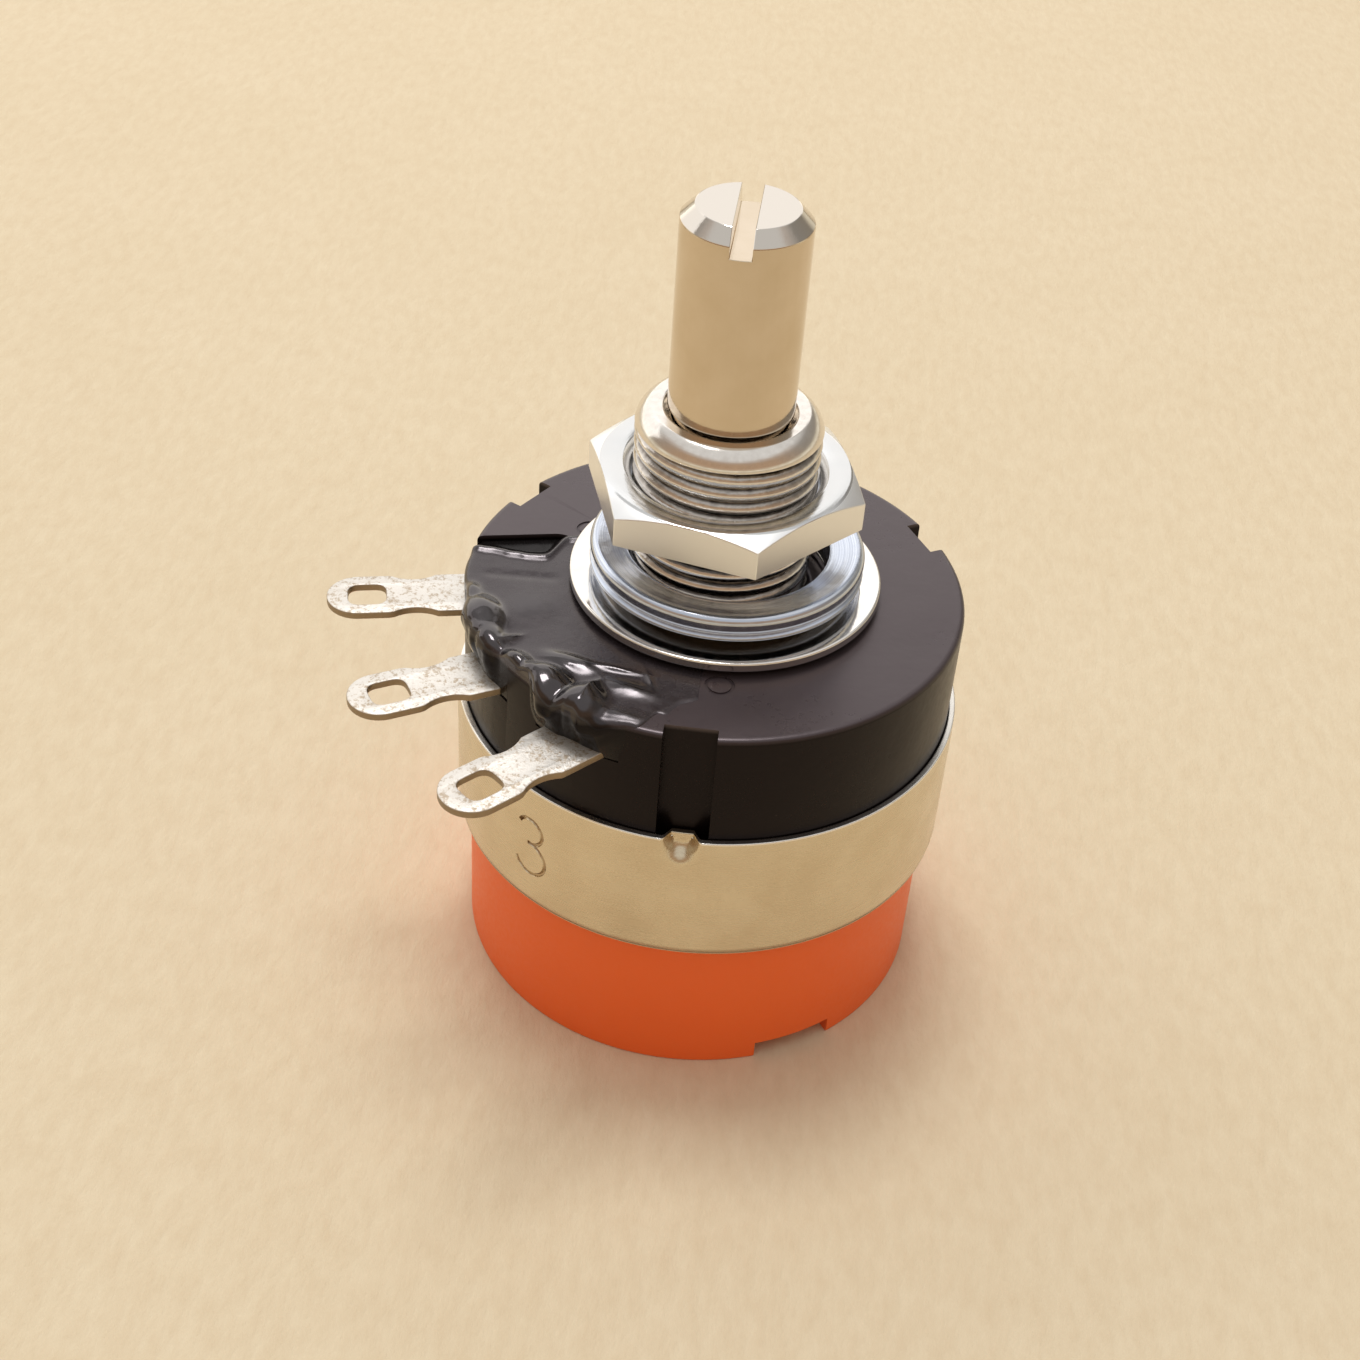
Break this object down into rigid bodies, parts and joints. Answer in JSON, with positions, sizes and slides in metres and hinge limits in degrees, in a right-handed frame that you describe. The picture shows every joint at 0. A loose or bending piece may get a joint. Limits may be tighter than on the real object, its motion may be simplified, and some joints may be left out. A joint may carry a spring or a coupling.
{
  "type": "switched potentiometer",
  "caption": "Panel potentiometer with a slotted round shaft, threaded bush with nut and washers, side solder terminals and a rear rotary switch.",
  "frame": {"origin": "shaft axis at the front face of the black moulding, which is the foot of the threaded bush", "axes": "+Z along the shaft towards its tip, -X to the side the solder terminals fan out on, +Y to the side of the switch lugs"},
  "size_m": [0.0321, 0.0327, 0.0418],
  "materials": {
    "black_phenolic": "semi-gloss moulded",
    "nickel": "nickel plated",
    "zinc": "bright zinc plated",
    "spring_steel": "dark",
    "laminate": "paper laminate",
    "carbon": "matte film",
    "silver": "silver film",
    "tinned": "tinned, mottled",
    "rivet_brass": "plain",
    "epoxy": "glossy cured resin",
    "rotor_phenolic": "moulded",
    "bronze": "spring bronze",
    "band_steel": "tinned steel",
    "orange_plastic": "smooth moulded",
    "nylon": "natural",
    "contact_alloy": "plain"
  },
  "bodies": {
    "case": {"front_moulding": "black_phenolic", "threaded_bush": "nickel", "element_disc": "laminate", "carbon_track": "carbon", "collector_ring": "silver", "terminal_1": "tinned", "terminal_2": "tinned", "terminal_3": "tinned", "terminal_rivet_1": "rivet_brass", "terminal_rivet_2": "rivet_brass", "terminal_rivet_3": "rivet_brass", "potting_compound": "epoxy", "case_band": "band_steel", "divider_plate": "laminate", "switch_housing": "orange_plastic", "switch_lug_1": "tinned", "switch_lug_2": "tinned", "contact_post_1": "contact_alloy", "contact_post_2": "contact_alloy", "lever_clip": "spring_steel", "contact_spring": "spring_steel"},
    "spindle": {"shaft": "nickel", "retaining_clip": "spring_steel", "rotor_disc": "rotor_phenolic", "rotor_retainer": "spring_steel", "wiper_spring": "bronze", "track_brush": "carbon", "collector_brush": "carbon", "switch_driver": "nylon"},
    "lever": {"contact_lever": "contact_alloy", "cam_follower": "nylon", "moving_contact": "silver"},
    "washer": {"flat_washer": "nickel"},
    "dish": {"dished_washer": "zinc"},
    "nut": {"hex_nut": "zinc"}
  },
  "joints": [
    {"name": "shaft_turn", "type": "hinge", "parent": "case", "child": "spindle", "pos_m": [0, 0, 0], "axis": [0, 0, -1], "range_deg": [0, 300]},
    {"name": "contact_swing", "type": "hinge", "parent": "case", "child": "lever", "pos_m": [-0.003, 0.0052, 0], "axis": [0, 0, -1], "range_deg": [0, 9.6], "deforming": ["contact_spring"]},
    {"name": "washer_lift", "type": "slide", "parent": "case", "child": "washer", "axis": [0, 0, 1], "range_m": [0, 0.0008]},
    {"name": "dish_lift", "type": "slide", "parent": "washer", "child": "dish", "axis": [0, 0, 1], "range_m": [0, 0.0006]},
    {"name": "nut_travel", "type": "slide", "parent": "case", "child": "nut", "axis": [0, 0, 1], "range_m": [-0.0007, 0.0052]}
  ],
  "couplings": [
    {"joint": "contact_swing", "follows": "shaft_turn", "ratio": 0.0319}
  ]
}
